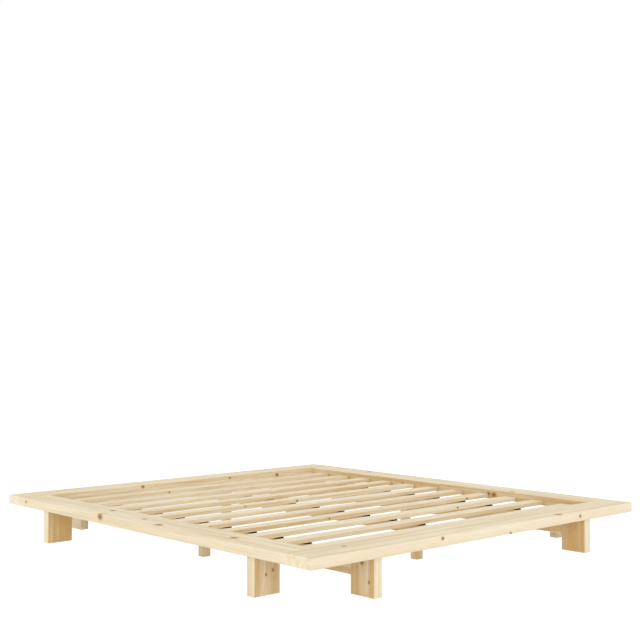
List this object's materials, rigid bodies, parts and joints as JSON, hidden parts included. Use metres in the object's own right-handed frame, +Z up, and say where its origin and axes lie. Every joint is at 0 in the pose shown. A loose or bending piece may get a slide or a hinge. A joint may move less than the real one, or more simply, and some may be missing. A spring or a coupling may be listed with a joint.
{
  "type": "platform bed frame",
  "caption": "Low pine platform bed frame: wide flat border boards on short board legs, with cross slats sunk inside the border to carry a mattress.",
  "frame": {"origin": "on the floor, under the middle of the bed", "axes": "+X across the bed to the right seen from the foot, +Y from the foot to the head, +Z up"},
  "size_m": [2.1, 2.3, 0.2],
  "materials": {
    "border_boards": "planed pine, clear matt lacquer",
    "legs": "planed pine, clear matt lacquer",
    "bearers_and_posts": "planed pine, clear matt lacquer",
    "slats": "planed pine, clear matt lacquer",
    "dowels": "fluted beech, unfinished",
    "rubber_pads": "matt black rubber",
    "screws": "yellow zinc plate",
    "steel_fittings": "bright zinc plate"
  },
  "bodies": {
    "root": {"foot_board": "border_boards", "head_board": "border_boards", "left_side_board": "border_boards", "right_side_board": "border_boards", "left_foot_side_leg": "legs", "left_head_side_leg": "legs", "right_foot_side_leg": "legs", "right_head_side_leg": "legs", "foot_left_end_leg": "legs", "foot_right_end_leg": "legs", "head_left_end_leg": "legs", "head_right_end_leg": "legs", "left_bearer": "bearers_and_posts", "right_bearer": "bearers_and_posts", "middle_bearer": "bearers_and_posts", "left_bearer_post": "bearers_and_posts", "right_bearer_post": "bearers_and_posts", "foot_middle_post": "bearers_and_posts", "head_middle_post": "bearers_and_posts", "slat_01": "slats", "slat_02": "slats", "slat_03": "slats", "slat_04": "slats", "slat_05": "slats", "slat_06": "slats", "slat_07": "slats", "slat_08": "slats", "slat_09": "slats", "slat_10": "slats", "slat_11": "slats", "left_slat_pads": "rubber_pads", "middle_slat_pads": "rubber_pads", "right_slat_pads": "rubber_pads", "slat_screws": "screws", "corner_dowels": "dowels", "leg_dowels": "dowels", "bearer_dowels": "dowels", "corner_plates": "steel_fittings", "plate_screws": "screws", "lap_screws": "screws", "middle_post_screws": "screws", "bearer_post_bolts": "steel_fittings", "bearer_post_washers": "steel_fittings", "bearer_post_nuts": "steel_fittings"}
  },
  "joints": []
}
